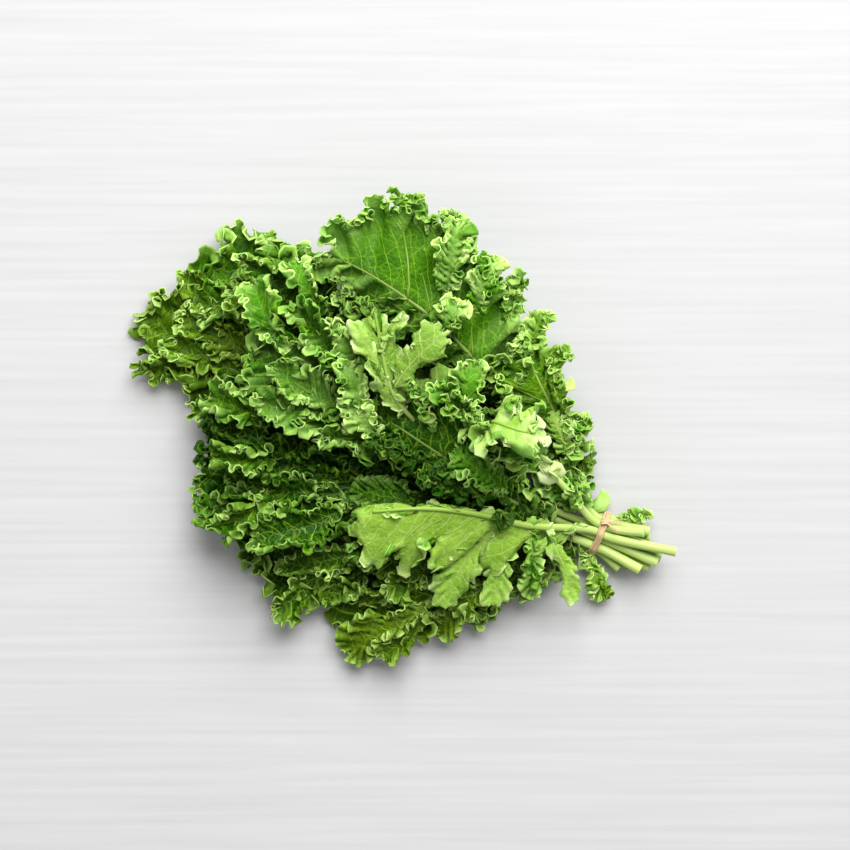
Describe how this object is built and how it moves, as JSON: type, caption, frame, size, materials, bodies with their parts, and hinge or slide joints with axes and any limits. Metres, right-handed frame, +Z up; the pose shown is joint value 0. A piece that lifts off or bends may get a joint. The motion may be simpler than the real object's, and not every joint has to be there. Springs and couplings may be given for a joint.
{
  "type": "kale bunch",
  "caption": "Tied bunch of curly kale lying on its side, with frilled green leaves fanned out from the pale cut stems and a strip of raffia around them.",
  "frame": {"origin": "middle of the bunch's footprint, on the surface that it lies on", "axes": "+X along the bunch towards the cut stem ends, +Z up"},
  "size_m": [0.4094, 0.3254, 0.1022],
  "materials": {
    "leaf_green": "waxy leaf, upper side",
    "leaf_underside": "waxy leaf, paler underside",
    "raffia": "dry natural fibre"
  },
  "bodies": {
    "root": {"tie": "raffia", "front_leaf": "leaf_underside", "hand_leaf": "leaf_underside", "fold_leaf": "leaf_green", "centre_leaf": "leaf_green", "top_leaf": "leaf_green", "left_up_leaf": "leaf_green", "left_leaf": "leaf_green", "right_low_leaf": "leaf_green", "bottom_leaf": "leaf_green", "upper_left_leaf": "leaf_green", "far_left_leaf": "leaf_green", "lower_left_leaf": "leaf_green", "bottom_right_leaf": "leaf_green", "top_right_leaf": "leaf_green", "right_leaf": "leaf_green"}
  },
  "joints": []
}
